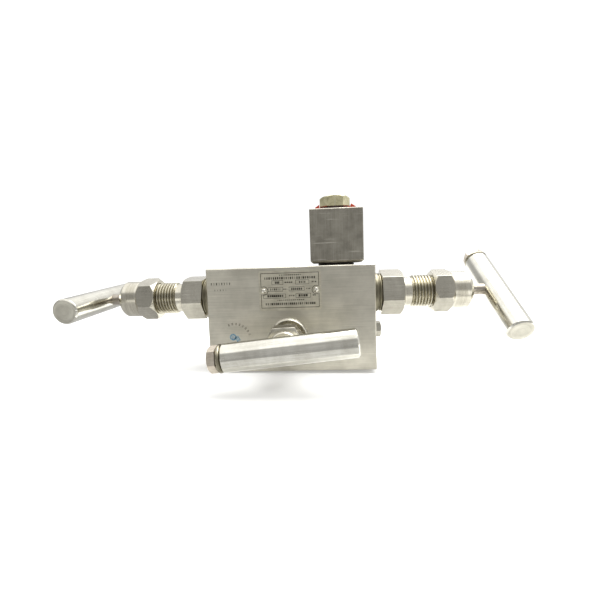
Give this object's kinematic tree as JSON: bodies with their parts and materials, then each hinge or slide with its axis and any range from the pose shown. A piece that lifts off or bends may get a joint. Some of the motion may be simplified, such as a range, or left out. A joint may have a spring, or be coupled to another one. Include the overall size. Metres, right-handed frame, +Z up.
{
  "type": "needle valve manifold",
  "caption": "Drilled stainless manifold bar with needle valves on its ends and front, each with a T-bar handle, and a plugged connector block on top.",
  "frame": {"origin": "middle of the body's flat bottom face", "axes": "+X along the bar towards the connector block's end, +Y to the plain back, +Z up, so the nameplate faces -Y"},
  "size_m": [0.268, 0.1003, 0.1058],
  "materials": {
    "brushed_bar": "brushed along its length, grey",
    "milled_block": "milled, darker grey",
    "turned_stainless": "turned and hexagon stock, satin",
    "polished_bar": "drawn bar, half bright",
    "polished_stainless": "ground bright",
    "dark_stainless": "turned, dull",
    "bolt_steel": "cold-formed, dull",
    "etched_plate": "etched satin plate",
    "zinc_plate": "yellow passivated zinc",
    "graphite": "pressed graphite, matt black",
    "orange_plastic": "moulded, slight gloss",
    "brown_rubber": "dark brown, matt"
  },
  "bodies": {
    "manifold": {"manifold_body": "brushed_bar", "nameplate": "etched_plate", "nameplate_rivets": "polished_stainless", "vent_plug": "turned_stainless", "left_bonnet": "turned_stainless", "left_lock_ring": "dark_stainless", "left_bonnet_gasket": "graphite", "left_seat": "polished_stainless", "left_packing": "graphite", "left_gland_follower": "polished_stainless", "left_packing_nut": "turned_stainless", "right_bonnet": "turned_stainless", "right_lock_ring": "dark_stainless", "right_bonnet_gasket": "graphite", "right_seat": "polished_stainless", "right_packing": "graphite", "right_gland_follower": "polished_stainless", "right_packing_nut": "turned_stainless", "equaliser_bonnet": "turned_stainless", "equaliser_lock_ring": "dark_stainless", "equaliser_bonnet_gasket": "graphite", "equaliser_seat": "polished_stainless", "equaliser_packing": "graphite", "equaliser_gland_follower": "polished_stainless", "equaliser_packing_nut": "turned_stainless", "connector_block": "milled_block", "connector_nipple": "turned_stainless", "connector_gasket": "graphite", "blanking_plug": "zinc_plate", "plug_washer": "orange_plastic", "plug_seal": "brown_rubber"},
    "left_needle": {"left_needle": "polished_stainless"},
    "left_handle": {"left_stem": "polished_stainless", "left_handle_bar": "polished_bar", "left_handle_washer": "dark_stainless", "left_handle_bolt": "bolt_steel"},
    "right_needle": {"right_needle": "polished_stainless"},
    "right_handle": {"right_stem": "polished_stainless", "right_handle_bar": "polished_bar", "right_handle_washer": "dark_stainless", "right_handle_bolt": "bolt_steel"},
    "equaliser_needle": {"equaliser_needle": "polished_stainless"},
    "equaliser_handle": {"equaliser_stem": "polished_stainless", "equaliser_handle_bar": "polished_bar", "equaliser_handle_washer": "dark_stainless", "equaliser_handle_bolt": "bolt_steel"}
  },
  "joints": [
    {"name": "left_needle_travel", "type": "slide", "parent": "manifold", "child": "left_needle", "axis": [-1, 0, 0], "range_m": [0, 0.0051]},
    {"name": "left_handle_turn", "type": "hinge", "parent": "left_needle", "child": "left_handle", "pos_m": [-0.0508, 0, 0.0455], "axis": [-1, 0, 0], "range_deg": [0, 1440]},
    {"name": "right_needle_travel", "type": "slide", "parent": "manifold", "child": "right_needle", "axis": [1, 0, 0], "range_m": [0, 0.0051]},
    {"name": "right_handle_turn", "type": "hinge", "parent": "right_needle", "child": "right_handle", "pos_m": [0.0508, 0, 0.0455], "axis": [1, 0, 0], "range_deg": [0, 1440]},
    {"name": "equaliser_needle_travel", "type": "slide", "parent": "manifold", "child": "equaliser_needle", "axis": [0, -1, 0], "range_m": [0, 0.0032]},
    {"name": "equaliser_handle_turn", "type": "hinge", "parent": "equaliser_needle", "child": "equaliser_handle", "pos_m": [-0.0014, -0.01745, 0.0214], "axis": [0, -1, 0], "range_deg": [0, 900]}
  ],
  "couplings": [
    {"joint": "left_needle_travel", "follows": "left_handle_turn", "m_per_rad": 0.00020213},
    {"joint": "right_needle_travel", "follows": "right_handle_turn", "m_per_rad": 0.00020213},
    {"joint": "equaliser_needle_travel", "follows": "equaliser_handle_turn", "m_per_rad": 0.00020213}
  ]
}
